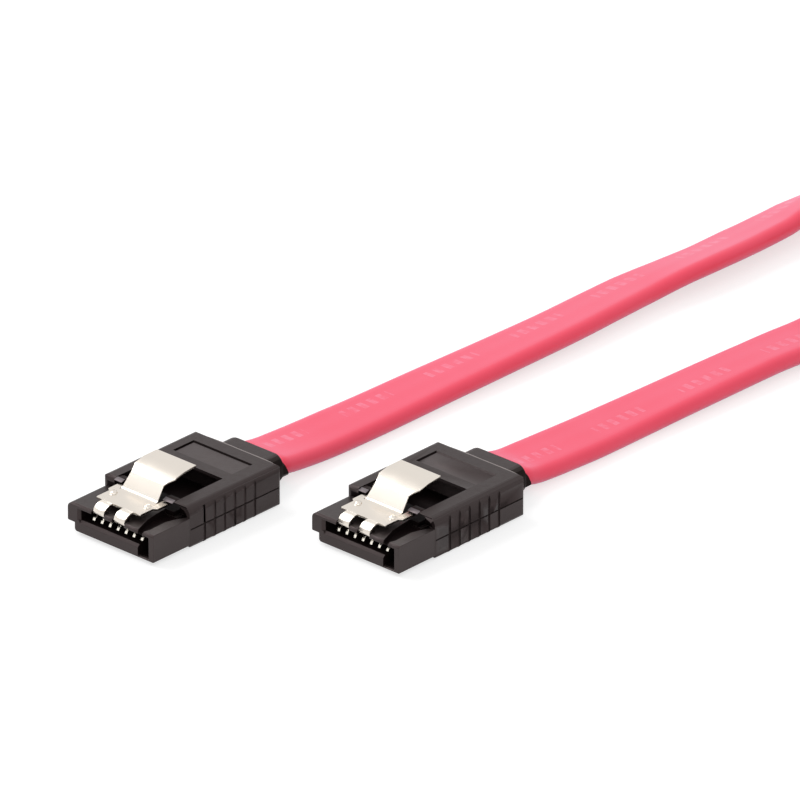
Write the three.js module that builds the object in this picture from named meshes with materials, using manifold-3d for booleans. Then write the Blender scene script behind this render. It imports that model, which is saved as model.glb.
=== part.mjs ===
// Flat data cable with a latching plug on each end, lying on a table.
// Units are millimetres. Each plug is drawn in its own frame: X across the plug, Y from the
// mating face towards the cable, Z up from the table. The model's origin is the middle of the
// two plugs, on the table.
import * as THREE from 'three';
import { mergeVertices } from 'three/addons/utils/BufferGeometryUtils.js';
import Module from 'manifold-3d';

const wasm = await Module();
wasm.setup();

// Moulded body over the plug's rear
const bodyWidth = 14.0;
const bodyLength = 15.5;
const bodyHeight = 5.2;
const topEdgeRadius = 1.0;
const bottomEdgeRadius = 0.5;
const cornerRadius = 0.6;
const endEdgeRadius = 0.6;
const frontEdgeRadius = 0.3;
const partingHeight = 2.42;
const partingWidth = 0.18;
const partingDepth = 0.2;
const partingStart = 0.15; // from the body's front face
const partingEnd = 0.5; // from its rear face
const grooveCount = 6;
const groovePitch = 1.685;
const grooveWidth = 0.42;
const grooveDepth = 0.16;
const firstGroove = 2.53; // from the body's front face

// Bare name panel behind the pocket
const panelLength = 3.5;
const panelInset = 2.2; // from the body's rear face
const panelDepth = 0.14;
const panelLineWidth = 0.24;
const panelLineDepth = 0.4;

// Pocket under the press tab
const pocketWidth = 9.4;
const pocketLength = 8.25;
const pocketShelf = 2.9; // length of the shallow floor behind the front face
const pocketDepth = 3.6; // of the deep part, from the body's top
const pocketReach = 2.4; // how far the deep part runs on under the body's top
const pocketRoof = 0.38;

// Hooks that hold the latch's ears down
const hookReach = 1.3;
const hookLength = 1.3;
const hookBevelLength = 0.55;
const hookBevelDrop = 0.28;
const hookClearance = 0.12;

// Cable collar, and the thin sleeve that runs on from it along the cable
const collarOffset = -0.2; // its middle, from the plug's middle
const collarWidth = 8.7;
const collarBottom = 0.55;
const collarTop = 4.1;
const collarLength = 3.35;
const collarRoot = 0.6; // inside the body
const collarRadius = 1.3;
const collarLip = 0.2;
const collarLipTaper = 0.98;
const sleeveWidth = 8.3;
const sleeveHeight = 2.6;
const sleeveLength = 0.8; // at the height of the cable's middle
const sleeveLean = 0.5; // how far its lower side runs on, for each mm of height

// Front block with the L-shaped slot
const blockWidth = 12.5;
const blockLength = 6.1;
const blockRise = 0.45; // its underside above the table
const platformHeight = 3.9;
const blockCorner = 0.35;
const blockEdge = 0.06;
const frontChamfer = 0.25;
const sideWall = 0.75;
const lipHeight = 1.5; // lower wall, from the block's underside to the slot
const slotHeight = 1.47;
const slotDepth = 5.2;
const slotRadius = 0.1;
const legWidth = 1.73;
const legFloor = 0.27;
const legLip = 0.06; // what its chamfer leaves of the floor at the mating face
const mouthChamfer = 0.34;
const ribWidth = 1.1;
const ribBottom = 1.52;
const ribRadius = 0.75;
const ribEdge = 0.15;
const tailLength = 2.5; // rear of the block, held inside the moulded body
const tailInset = 1.2;
const tailBottom = 1.0;
const tailTop = 3.35;
const tailClearance = 0.05;

// Boat-shaped trough beside the platform, open at the mating face
const troughDepth = 0.72;
const troughRoof = 0.14; // left over the slot
const troughGap = 0.2; // between the trough and the slot's full height
const troughSill = 0.6; // depth of the slot's front stretch, which the trough opens into
const troughLeftEdge = [[2.45, 0], [3.45, 2.7], [3.7, 4.4], [3.85, 6.1]]; // X from the block's right side, Y
const troughRightEdge = [[1.75, 0], [1.45, 0.95], [1.5, 3.6], [1.2, 4.7], [0.55, 6.1]];
const recessDepth = 1.1; // where the trough runs into the moulded body
const recessTop = 4.75;
const recessRim = 0.42;
const recessRadius = 0.3;
const recessWall = 0.2; // between the recess and the pocket

// Contacts
const contactCount = 7;
const contactPitch = 1.27;
const contactWidth = 0.36;
const contactThickness = 0.18;
const contactLevel = 2.85;
const contactTip = [0.7, 2.28]; // Y, Z
const contactCurl = [[0, 0], [0.16, 0.28], [0.42, 0.48]]; // from the tip: back, up
const contactSettle = [[0.95, 0.06], [1.9, 0]]; // from the tip: back, below the blade's level
const contactClearance = 0.05;
const contactTail = 1.9; // reach behind the block's rear face

// Sprung steel latch
const latchOffset = -0.25; // its middle, from the plug's middle
const sheetThickness = 0.25;
const plateGap = 0.6; // under the plate
const plateFront = 1.75;
const plateHalfWidth = 3.5;
const plateCorner = 0.15;
const earHalfWidth = 3.95;
const earFront = 4.3;
const earLength = 2.3;
const earSlope = 0.35; // length of its slanted front
const earBack = 0.3;
const armWidth = 0.6;
const armEnd = 7.6;
const armSide = 0.1; // how far the arms stand out past the plate
const rampStart = 5.3;
const rampHalfWidth = 2.83;
const rampTopHalfWidth = 2.6;
const rampLength = 1.5;
const rampRise = 1.72;
const rampSlit = 0.15; // how far the slits beside the ramp reach ahead of it
const rampFoot = [[-0.9, 0], [-0.1, 0.02], [0.25, 0.2]]; // bend, from the ramp's start: back, up
const rampCrest = [[-0.2, -0.24], [0, 0]]; // bend, from its top
const tabHalfWidth = 3.2;
const tabEndHalfWidth = 3.08;
const tabLength = 4.85;
const tabRise = 0.92;
// shares of the tab's length and rise
const tabArch = [[0.1, 0.28], [0.3, 0.62], [0.55, 0.9], [0.94, 1], [1, 0.96]];
const tabShoulder = [[0.2, 0.45], [0.6, 1.15]]; // from the ramp's end: out, back
const tabTaperStart = 0.55; // share of its length
const tabCorner = 0.15;
const tongueHalfWidth = 0.83;
const tongueSpacing = 3.26;
const tongueTip = 0.2; // front of the curl, from the mating face
const tongueDrop = 1.1;
const tongueRoot = [[0.5, 0], [-0.35, 0.02], [-0.95, 0.2]]; // from the plate's front: back, down
const tongueCurl = [[0.22, 0.5], [0.125, 0.82]]; // from the tip: back, below the plate
const notchClearance = 0.15;
const notchLength = 1.05;
const dimpleRadius = 0.5;
const dimpleHeight = 0.28;
const dimpleSpacing = 5.4;
const dimplePlace = 3.85;

// Flat cable
const cableWidth = 8.0;
const cableThickness = 2.2;
const cableLift = 0.07; // keeps the cable's bends clear of the table
const cableExitHeight = 2.1;
const cableGap = 0.3;
const cableSides = 12;
const loopRadius = 21;
const loopHeadStart = 122; // where the cable starts to swing out into the loop
const loopSteps = 18;
const swingSteps = 3; // on each side, between a straight run and the loop
const rollIntoLoop = [34, 56]; // at the swing's start, and still to come, in degrees
const rollOutOfLoop = [62, 28];

// Where the second plug lies from the first
const plugPitchX = 22.58;
const plugPitchY = 17.05;

const moulding = new THREE.MeshStandardMaterial({ color: 0x2b2728, roughness: 0.55, metalness: 0 });
const insulator = new THREE.MeshStandardMaterial({ color: 0x302c2c, roughness: 0.5, metalness: 0 });
const steel = new THREE.MeshStandardMaterial({ color: 0xd8d2ca, roughness: 0.35, metalness: 1 });
const plating = new THREE.MeshStandardMaterial({ color: 0xf0dfb8, roughness: 0.25, metalness: 1 });
const jacket = new THREE.MeshStandardMaterial({ color: 0xf0506c, roughness: 0.45, metalness: 0 });

// Places that several pieces share
const bodyFront = blockLength;
const bodyRear = bodyFront + bodyLength;
const sleeveEnd = bodyRear + collarLength + sleeveLength;
const blockRight = bodyWidth / 2;
const blockLeft = blockRight - blockWidth;
const blockMiddle = (blockLeft + blockRight) / 2;
const slotLeft = blockLeft + sideWall;
const slotRight = blockRight - sideWall;
const slotBottom = blockRise + lipHeight;
const slotTop = slotBottom + slotHeight;
const legLeft = slotRight - legWidth;
const troughLeft = blockRight - Math.max(...troughLeftEdge.map(([fromRight]) => fromRight));
const troughFloor = platformHeight - troughDepth;
const plateBottom = platformHeight + plateGap;
const plateTop = plateBottom + sheetThickness;
const plateMiddle = plateBottom + sheetThickness / 2;
const pocketLeft = latchOffset - pocketWidth / 2;
const pocketRight = latchOffset + pocketWidth / 2;
const pocketRear = bodyFront + pocketLength;
const armInner = plateHalfWidth + armSide - armWidth;

// A closed geometry as a solid that can be joined and cut
function solidOf(geometry) {
  const bare = geometry.clone();
  bare.deleteAttribute('normal');
  bare.deleteAttribute('uv');
  const merged = mergeVertices(bare, 1e-5);
  return new wasm.Manifold(new wasm.Mesh({
    numProp: 3,
    vertProperties: new Float32Array(merged.attributes.position.array),
    triVerts: new Uint32Array(merged.index.array),
  }));
}

function geometryOf(solid) {
  const mesh = solid.getMesh();
  const geometry = new THREE.BufferGeometry();
  geometry.setAttribute('position', new THREE.BufferAttribute(mesh.vertProperties, 3));
  geometry.setIndex(new THREE.BufferAttribute(mesh.triVerts, 1));
  geometry.computeVertexNormals();
  return geometry;
}

function outline(points) {
  return new THREE.Shape(points.map(([a, b]) => new THREE.Vector2(a, b)));
}

// Rectangle with a radius for each corner, from the low corner anticlockwise
function roundedOutline(left, right, low, high, [lowLeft, lowRight, highRight, highLeft]) {
  const shape = new THREE.Shape();
  shape.moveTo(left + lowLeft, low);
  shape.lineTo(right - lowRight, low);
  shape.absarc(right - lowRight, low + lowRight, lowRight, -Math.PI / 2, 0);
  shape.lineTo(right, high - highRight);
  shape.absarc(right - highRight, high - highRight, highRight, 0, Math.PI / 2);
  shape.lineTo(left + highLeft, high);
  shape.absarc(left + highLeft, high - highLeft, highLeft, Math.PI / 2, Math.PI);
  shape.lineTo(left, low + lowLeft);
  shape.absarc(left + lowLeft, low + lowLeft, lowLeft, Math.PI, Math.PI * 1.5);
  return shape;
}

const arcSteps = 4;

function extruded(shape, length) {
  return new THREE.ExtrudeGeometry(shape, { depth: length, bevelEnabled: false, curveSegments: arcSteps });
}

// Outline in X and Z, drawn out along Y
function alongY(shape, from, to) {
  return solidOf(extruded(shape, to - from).rotateX(Math.PI / 2).translate(0, to, 0));
}

// Outline in X and Y, drawn out along Z
function alongZ(shape, from, to) {
  return solidOf(extruded(shape, to - from).translate(0, 0, from));
}

// Outline in Y and Z, drawn out along X
function alongX(shape, from, to) {
  const turn = new THREE.Matrix4().set(0, 0, 1, from, 1, 0, 0, 0, 0, 1, 0, 0, 0, 0, 0, 1);
  return solidOf(extruded(shape, to - from).applyMatrix4(turn));
}

function box([x0, y0, z0], [x1, y1, z1]) {
  const geometry = new THREE.BoxGeometry(x1 - x0, y1 - y0, z1 - z0);
  return solidOf(geometry.translate((x0 + x1) / 2, (y0 + y1) / 2, (z0 + z1) / 2));
}

// Outline of a bent sheet, from the line through its middle
function sheetOutline(points, thickness) {
  const line = points.map(([a, b]) => new THREE.Vector2(a, b));
  const sides = [[], []];
  line.forEach((point, i) => {
    const before = line[Math.max(i - 1, 0)];
    const after = line[Math.min(i + 1, line.length - 1)];
    const into = point.clone().sub(before).normalize();
    const out = after.clone().sub(point).normalize();
    const along = into.clone().add(out).normalize();
    const spread = 1 / Math.max(0.5, along.dot(i === 0 ? out : into));
    const across = new THREE.Vector2(-along.y, along.x).multiplyScalar(spread * thickness / 2);
    sides[0].push(point.clone().add(across));
    sides[1].push(point.clone().sub(across));
  });
  return new THREE.Shape([...sides[1], ...sides[0].reverse()]);
}

const over = 1; // how far a cut runs past the face that it opens
const lap = 0.1; // how far solids that are joined, or cuts that meet, run into each other
const sharp = 0.02; // radius of a corner that is left sharp

function bodySolid() {
  const half = bodyWidth / 2;
  const section = roundedOutline(-half, half, 0, bodyHeight,
    [bottomEdgeRadius, bottomEdgeRadius, topEdgeRadius, topEdgeRadius]);
  const plan = roundedOutline(-half, half, bodyFront, bodyRear,
    [cornerRadius, sharp, cornerRadius, cornerRadius]);
  const side = roundedOutline(bodyFront, bodyRear, 0, bodyHeight,
    [bottomEdgeRadius, endEdgeRadius, endEdgeRadius, frontEdgeRadius]);
  let body = alongY(section, bodyFront, bodyRear)
    .intersect(alongZ(plan, -over, bodyHeight + over))
    .intersect(alongX(side, -bodyWidth, bodyWidth));
  for (const edge of [-1, 1]) {
    const cut = (depth, from, to, low, high) => {
      const ends = [edge * (half - depth), edge * (half + over)].sort((a, b) => a - b);
      return box([ends[0], from, low], [ends[1], to, high]);
    };
    body = body.subtract(cut(partingDepth, bodyFront + partingStart, bodyRear - partingEnd,
      partingHeight - partingWidth / 2, partingHeight + partingWidth / 2));
    for (let i = 0; i < grooveCount; i += 1) {
      const place = bodyFront + firstGroove + i * groovePitch;
      body = body.subtract(cut(grooveDepth, place - grooveWidth / 2, place + grooveWidth / 2,
        -over, bodyHeight + over));
    }
  }
  return body;
}

function pocketCut() {
  const top = bodyHeight + over;
  const deep = bodyHeight - pocketDepth;
  return box([pocketLeft, bodyFront - over, platformHeight], [pocketRight, pocketRear, top])
    .add(box([pocketLeft, bodyFront + pocketShelf, deep], [pocketRight, pocketRear, top]))
    .add(box([pocketLeft, bodyFront + pocketShelf, deep],
      [pocketRight, pocketRear + pocketReach, bodyHeight - pocketRoof]));
}

function hookSolids() {
  const low = plateTop + hookClearance;
  const end = bodyFront + hookLength;
  const profile = outline([
    [bodyFront, low], [end, low], [end, bodyHeight],
    [bodyFront + hookBevelLength, bodyHeight], [bodyFront, bodyHeight - hookBevelDrop],
  ]);
  return alongX(profile, pocketLeft - lap, pocketLeft + hookReach)
    .add(alongX(profile, pocketRight - hookReach, pocketRight + lap));
}

function panelCut() {
  const rear = bodyRear - panelInset;
  const front = rear - panelLength;
  const top = bodyHeight + over;
  const floor = bodyHeight - panelDepth;
  const deep = bodyHeight - panelLineDepth;
  return box([pocketLeft, front, floor], [pocketRight, rear, top])
    .add(box([pocketLeft, front, deep], [pocketLeft + panelLineWidth, rear, top]))
    .add(box([pocketLeft, rear - panelLineWidth, deep], [pocketRight, rear, top]));
}

// The trough's run into the moulded body, with a round outer top corner
function recessCut() {
  const outer = blockRight - recessRim;
  const shape = roundedOutline(pocketRight + recessWall, outer, troughFloor, recessTop,
    [sharp, recessRadius, topEdgeRadius - lap, recessRadius]);
  return alongY(shape, bodyFront - over, bodyFront + recessDepth);
}

// The sleeve's end and the cable's start lean the same way
function leanAt(z) {
  return (cableExitHeight - z) * sleeveLean;
}

function collarSolid() {
  const half = collarWidth / 2;
  const rise = (collarTop - collarBottom) / 2;
  const middle = collarBottom + rise;
  const shape = roundedOutline(-half, half, -rise, rise,
    [collarRadius, collarRadius, collarRadius, collarRadius]);
  const end = bodyRear + collarLength;
  const slimX = sleeveWidth / collarWidth;
  const slimZ = sleeveHeight / (2 * rise);
  // From inside the body to the sleeve's end
  const rings = [
    { y: bodyRear - collarRoot, scaleX: 1, scaleZ: 1, height: middle, lean: 0 },
    { y: end - collarLip, scaleX: 1, scaleZ: 1, height: middle, lean: 0 },
    { y: end, scaleX: collarLipTaper, scaleZ: collarLipTaper, height: middle, lean: 0 },
    { y: end, scaleX: slimX, scaleZ: slimZ, height: cableExitHeight, lean: 0 },
    { y: sleeveEnd, scaleX: slimX, scaleZ: slimZ, height: cableExitHeight, lean: 1 },
  ];
  const steps = rings.length - 1;
  const geometry = new THREE.ExtrudeGeometry(shape,
    { depth: steps, steps, bevelEnabled: false, curveSegments: arcSteps });
  const position = geometry.attributes.position;
  for (let i = 0; i < position.count; i += 1) {
    const ring = rings[Math.round(position.getZ(i))];
    const z = ring.height + position.getY(i) * ring.scaleZ;
    // The outline's first axis is flipped, so that the mesh still faces outwards
    position.setXYZ(i, collarOffset - position.getX(i) * ring.scaleX, ring.y + ring.lean * leanAt(z), z);
  }
  return solidOf(geometry);
}

function tailBox(clearance) {
  return box(
    [slotLeft + tailInset - clearance, bodyFront - (clearance ? over : lap), tailBottom - clearance],
    [slotRight - tailInset + clearance, bodyFront + tailLength + clearance, tailTop + clearance]);
}

function overmouldGeometry() {
  return geometryOf(bodySolid()
    .subtract(pocketCut())
    .add(hookSolids())
    .subtract(panelCut())
    .subtract(recessCut())
    .add(collarSolid())
    .subtract(tailBox(tailClearance)));
}

function contactPlace(index) {
  return blockMiddle + (index - (contactCount - 1) / 2) * contactPitch;
}

function slotCut() {
  const front = roundedOutline(slotLeft, slotRight, slotBottom, slotTop,
    [sharp, sharp, slotRadius, slotRadius]);
  const lowRoof = troughFloor - troughRoof;
  const leg = legFloor + blockRise;
  return alongY(front, -over, troughSill)
    .add(box([slotLeft, -over, slotBottom], [troughLeft - troughGap, slotDepth, slotTop]))
    .add(box([slotLeft, -over, slotBottom], [slotRight, slotDepth, lowRoof]))
    .add(box([legLeft, -over, leg], [slotRight, slotDepth, slotBottom + lap]));
}

function mouthCut() {
  const lip = outline([
    [-over, slotBottom - mouthChamfer - over], [mouthChamfer, slotBottom],
    [mouthChamfer, slotBottom + lap], [-over, slotBottom + lap],
  ]);
  const side = outline([
    [slotLeft - mouthChamfer - over, -over], [slotLeft + lap, -over],
    [slotLeft + lap, mouthChamfer], [slotLeft, mouthChamfer],
  ]);
  const leg = legFloor + blockRise;
  const floor = outline([
    [-over, leg - (legFloor - legLip) * (1 + over / mouthChamfer)], [mouthChamfer, leg],
    [mouthChamfer, leg + lap], [-over, leg + lap],
  ]);
  const top = outline([
    [-over, platformHeight - frontChamfer - over], [frontChamfer + over, platformHeight + over],
    [-over, platformHeight + over],
  ]);
  return alongX(lip, slotLeft, legLeft + lap / 2)
    .add(alongZ(side, slotBottom, slotTop))
    .add(alongX(floor, legLeft, slotRight))
    .add(alongX(top, -bodyWidth, bodyWidth));
}

function troughCut() {
  const edge = (points) => points.map(([fromRight, y]) => [blockRight - fromRight, y]);
  const left = edge(troughLeftEdge);
  const right = edge(troughRightEdge);
  const beyond = ([x], y) => [x, y];
  const plan = outline([beyond(left[0], -over), beyond(right[0], -over), ...right,
    beyond(right[right.length - 1], bodyFront + over), beyond(left[left.length - 1], bodyFront + over),
    ...left.reverse()]);
  return alongZ(plan, troughFloor, platformHeight + over);
}

function notchCut() {
  const reach = tongueHalfWidth + notchClearance;
  let cut = null;
  for (const side of [-1, 1]) {
    const middle = latchOffset + side * tongueSpacing / 2;
    const notch = box([middle - reach, -over, slotTop - lap],
      [middle + reach, notchLength, platformHeight + over]);
    cut = cut ? cut.add(notch) : notch;
  }
  return cut;
}

function housingGeometry() {
  const block = roundedOutline(blockLeft, blockRight, blockRise, platformHeight,
    [blockCorner, blockEdge, blockEdge, blockEdge]);
  const rib = roundedOutline(blockLeft - ribWidth, blockLeft + 1, ribBottom, platformHeight,
    [ribEdge, sharp, sharp, ribRadius]);
  let housing = alongY(block, 0, blockLength)
    .add(alongY(rib, 0, blockLength))
    .subtract(slotCut())
    .subtract(mouthCut())
    .subtract(troughCut())
    .subtract(notchCut())
    .add(tailBox(0));
  for (let i = 0; i < contactCount; i += 1) {
    const reach = contactWidth / 2 + contactClearance;
    const rise = contactThickness / 2 + contactClearance;
    housing = housing.subtract(box(
      [contactPlace(i) - reach, slotDepth - lap, contactLevel - rise],
      [contactPlace(i) + reach, bodyFront + contactTail + contactClearance, contactLevel + rise]));
  }
  return geometryOf(housing);
}

function contactGeometry(index) {
  const [tipY, tipZ] = contactTip;
  const line = [
    ...contactCurl.map(([back, up]) => [tipY + back, tipZ + up]),
    ...contactSettle.map(([back, below]) => [tipY + back, contactLevel - below]),
    [bodyFront + contactTail, contactLevel],
  ];
  const middle = contactPlace(index);
  return geometryOf(alongX(sheetOutline(line, contactThickness),
    middle - contactWidth / 2, middle + contactWidth / 2));
}

// Outline that is the same on both sides of the latch's middle, from its right half
function mirroredOutline(half) {
  const right = half.map(([x, y]) => [latchOffset + x, y]);
  const left = half.map(([x, y]) => [latchOffset - x, y]).reverse();
  return outline([...right, ...left]);
}

function latchGeometry() {
  const armOuter = armInner + armWidth;
  const earRear = earFront + earLength;
  const plate = mirroredOutline([
    [plateHalfWidth - plateCorner, plateFront], [plateHalfWidth, plateFront + plateCorner],
    [plateHalfWidth, earFront - earSlope], [earHalfWidth, earFront], [earHalfWidth, earRear],
    [armOuter, earRear + earBack], [armOuter, armEnd], [armInner, armEnd],
    [armInner, rampStart - rampSlit], [rampHalfWidth, rampStart - rampSlit], [rampHalfWidth, rampStart],
  ]);
  const rampTop = plateMiddle + rampRise;
  const rampEnd = rampStart + rampLength;
  const tabEnd = rampEnd + tabLength;
  const strip = [
    ...rampFoot.map(([back, up]) => [rampStart + back, plateMiddle + up]),
    ...rampCrest.map(([back, up]) => [rampEnd + back, rampTop + up]),
    ...tabArch.map(([back, up]) => [rampEnd + back * tabLength, rampTop + up * tabRise]),
  ];
  const stripPlan = mirroredOutline([
    [rampHalfWidth, rampStart - over], [rampHalfWidth, rampStart + lap], [rampTopHalfWidth, rampEnd],
    ...tabShoulder.map(([out, back]) => [rampTopHalfWidth + out, rampEnd + back]),
    [tabHalfWidth, rampEnd + tabLength * tabTaperStart], [tabEndHalfWidth, tabEnd - tabCorner],
    [tabEndHalfWidth - tabCorner, tabEnd + over],
  ]);
  let latch = alongZ(plate, plateBottom, plateTop)
    .add(alongX(sheetOutline(strip, sheetThickness), latchOffset - bodyWidth / 2, latchOffset + bodyWidth / 2)
      .intersect(alongZ(stripPlan, 0, rampTop + tabRise + over)));
  const curl = [
    ...tongueRoot.map(([back, down]) => [plateFront + back, plateMiddle - down]),
    ...tongueCurl.map(([back, down]) => [tongueTip + back, plateMiddle - down]),
    [tongueTip + tongueCurl[0][0], plateMiddle - tongueDrop],
  ];
  for (const side of [-1, 1]) {
    const middle = latchOffset + side * tongueSpacing / 2;
    latch = latch.add(alongX(sheetOutline(curl, sheetThickness),
      middle - tongueHalfWidth, middle + tongueHalfWidth));
    const dimple = new THREE.SphereGeometry(dimpleRadius, 10, 6);
    dimple.rotateX(Math.PI / 2).scale(1, 1, dimpleHeight / dimpleRadius);
    dimple.translate(latchOffset + side * dimpleSpacing / 2, dimplePlace, plateTop);
    latch = latch.add(solidOf(dimple));
  }
  return geometryOf(latch);
}

// The cable's route, in the first plug's frame: X, Y, height added to that of a cable lying
// on the table, and how far its right edge is rolled up, in degrees
const exitRise = cableExitHeight - cableThickness / 2 - cableLift;
const routeA = [
  [collarOffset, sleeveEnd, exitRise, 0], [-0.18, 28, exitRise * 0.62, 0], [-0.16, 31, exitRise * 0.3, -1.2],
  [-0.1, 34.5, exitRise * 0.08, -2], [-0.03, 38.5, 0, -2], [0.06, 44, 0, -0.5], [0.29, 54, 0, 1.9],
  [0.74, 66, 0, 5.1], [0.98, 76, 0, 7.1], [0.87, 84, 0, 8.5], [0.83, 90, 0, 9.5], [1.3, 96, 0, 14.1],
  [1.72, 102, 0, 15.8], [1.71, 108, 0, 15.1], [1.72, 114, 0, 17], [1.5, 119, 0, 24],
];
// The second plug's run, in that plug's frame
const routeB = [
  [collarOffset, sleeveEnd, exitRise, 0], [-0.12, 28, exitRise * 0.45, 0], [0.08, 31, exitRise * 0.25, -1.5],
  [0.22, 34.5, exitRise * 0.14, -1.7], [0.38, 38.5, exitRise * 0.06, -1.6], [0.43, 45, 0, 0.4],
  [0.79, 53, 0, 2.8], [1.08, 61, 0, 4], [1.46, 69, 0, 5.6], [1.65, 73, 0, 4.4], [2.1, 80, 0, 1],
  [2.4, 88, 0, -16], [2.5, 97, 0, -40],
];

// A round-ended flat section touches the table at the lower end of its width
function restHeight(roll) {
  return (cableWidth - cableThickness) / 2 * Math.abs(Math.sin(roll)) + cableThickness / 2 + cableLift;
}

// Points of the whole cable, from the first plug to the second, each with its roll
function cableRoute() {
  const place = ([x, y, rise, degrees], dx, dy, turn) => {
    const roll = turn * THREE.MathUtils.degToRad(degrees);
    return { point: new THREE.Vector3(x + dx, y + dy, rise + restHeight(roll)), roll };
  };
  const route = routeA.map((p) => place(p, 0, 0, 1));
  const leftX = routeA[routeA.length - 1][0];
  const rightX = plugPitchX + routeB[routeB.length - 1][0];
  const middleX = (leftX + rightX) / 2;
  const swing = Math.acos(((rightX - leftX) / 2 + loopRadius) / (2 * loopRadius));
  const centreY = loopHeadStart + 2 * loopRadius * Math.sin(swing);
  const onEdge = restHeight(Math.PI / 2);
  for (let i = 0; i < swingSteps; i += 1) {
    const angle = swing * i / swingSteps;
    const roll = THREE.MathUtils.degToRad(rollIntoLoop[0] + rollIntoLoop[1] * i / swingSteps);
    route.push({ point: new THREE.Vector3(leftX - loopRadius * (1 - Math.cos(angle)),
      loopHeadStart + loopRadius * Math.sin(angle), restHeight(roll)), roll });
  }
  const loopFirst = route.length;
  for (let i = 0; i <= loopSteps; i += 1) {
    const angle = Math.PI + swing - (Math.PI + 2 * swing) * i / loopSteps;
    route.push({ point: new THREE.Vector3(middleX + loopRadius * Math.cos(angle),
      centreY + loopRadius * Math.sin(angle), onEdge), roll: Math.PI / 2 });
  }
  const loopLast = route.length - 1;
  for (let i = swingSteps - 1; i >= 0; i -= 1) {
    const angle = swing * i / swingSteps;
    const roll = THREE.MathUtils.degToRad(rollOutOfLoop[0] + rollOutOfLoop[1] * i / swingSteps);
    route.push({ point: new THREE.Vector3(rightX + loopRadius * (1 - Math.cos(angle)),
      loopHeadStart + loopRadius * Math.sin(angle), restHeight(roll)), roll });
  }
  routeB.slice().reverse().forEach((p) => route.push(place(p, plugPitchX, plugPitchY, -1)));
  return { route, loopFirst, loopLast };
}

// A length of the cable: the section drawn straight, then bent and rolled along the route
function cableGeometry(curve, rollAt, from, to, steps, leaning) {
  const half = cableWidth / 2;
  const edge = cableThickness / 2;
  const section = roundedOutline(-half, half, -edge, edge, [edge, edge, edge, edge]);
  const geometry = new THREE.ExtrudeGeometry(section,
    { depth: steps, steps, bevelEnabled: false, curveSegments: (cableSides - 4) / 4 });
  const position = geometry.attributes.position;
  for (let i = 0; i < position.count; i += 1) {
    const share = Math.round(position.getZ(i)) / steps;
    const u = from + (to - from) * share;
    const middle = curve.getPoint(u);
    const tangent = curve.getTangent(u);
    if (share === leaning) tangent.set(0, Math.sign(tangent.y), 0);
    const side = tangent.clone().cross(new THREE.Vector3(0, 0, 1)).normalize();
    const up = side.clone().cross(tangent);
    const roll = rollAt(u);
    const across = side.clone().multiplyScalar(Math.cos(roll)).addScaledVector(up, Math.sin(roll));
    const normal = up.clone().multiplyScalar(Math.cos(roll)).addScaledVector(side, -Math.sin(roll));
    // The section's first axis is flipped, so that the mesh still faces outwards
    const spot = middle.addScaledVector(across, -position.getX(i)).addScaledVector(normal, position.getY(i));
    if (share === leaning) spot.y += leanAt(spot.z);
    position.setXYZ(i, spot.x, spot.y, spot.z);
  }
  return geometryOf(solidOf(geometry));
}

function addCable(group) {
  const { route, loopFirst, loopLast } = cableRoute();
  const curve = new THREE.CatmullRomCurve3(route.map((p) => p.point), false, 'centripetal');
  const last = route.length - 1;
  const rollAt = (u) => {
    const at = Math.min(u * last, last - 1e-9);
    const i = Math.floor(at);
    return route[i].roll + (route[i + 1].roll - route[i].roll) * (at - i);
  };
  // Half a gap at each end of a length, as a share of the curve between two of its points
  const share = (index) => cableGap / route[index].point.distanceTo(route[index + 1].point) / last;
  const cuts = [share(0), loopFirst / last, loopLast / last, 1 - share(last - 1)];
  // Name, steps, and which end leans against a sleeve
  const lengths = [['cable_run_a', 34, 0], ['cable_loop', 26, null], ['cable_run_b', 30, 1]];
  lengths.forEach(([name, steps, leaning], i) => {
    const from = cuts[i] + (i > 0 ? share(loopFirst) / 2 : 0);
    const to = cuts[i + 1] - (i < lengths.length - 1 ? share(loopFirst) / 2 : 0);
    const mesh = new THREE.Mesh(cableGeometry(curve, rollAt, from, to, steps, leaning), jacket);
    mesh.name = name;
    group.add(mesh);
  });
}

function addPlug(group, suffix) {
  const add = (name, geometry, material) => {
    const mesh = new THREE.Mesh(geometry, material);
    mesh.name = `${name}_${suffix}`;
    group.add(mesh);
  };
  add('plug_housing', housingGeometry(), insulator);
  for (let i = 0; i < contactCount; i += 1) add(`contact_${i + 1}`, contactGeometry(i), plating);
  add('latch', latchGeometry(), steel);
  add('overmould', overmouldGeometry(), moulding);
}

const part = new THREE.Group();
const frame = new THREE.Group();
// The plugs reach from the rib's side or the body's, whichever stands out more
const plugLeft = Math.min(-bodyWidth / 2, blockLeft - ribWidth);
const plugRight = bodyWidth / 2;
const plugReach = sleeveEnd + leanAt(cableExitHeight - sleeveHeight / 2);
frame.position.set(-(plugLeft + plugRight + plugPitchX) / 2, -(plugReach + plugPitchY) / 2, 0);
part.add(frame);
const plugA = new THREE.Group();
const plugB = new THREE.Group();
plugB.position.set(plugPitchX, plugPitchY, 0);
frame.add(plugA, plugB);
addPlug(plugA, 'a');
addPlug(plugB, 'b');
addCable(frame);

export default part;
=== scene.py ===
import math

import bmesh
import bpy
import numpy as np
from mathutils import Matrix, Vector


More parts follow.
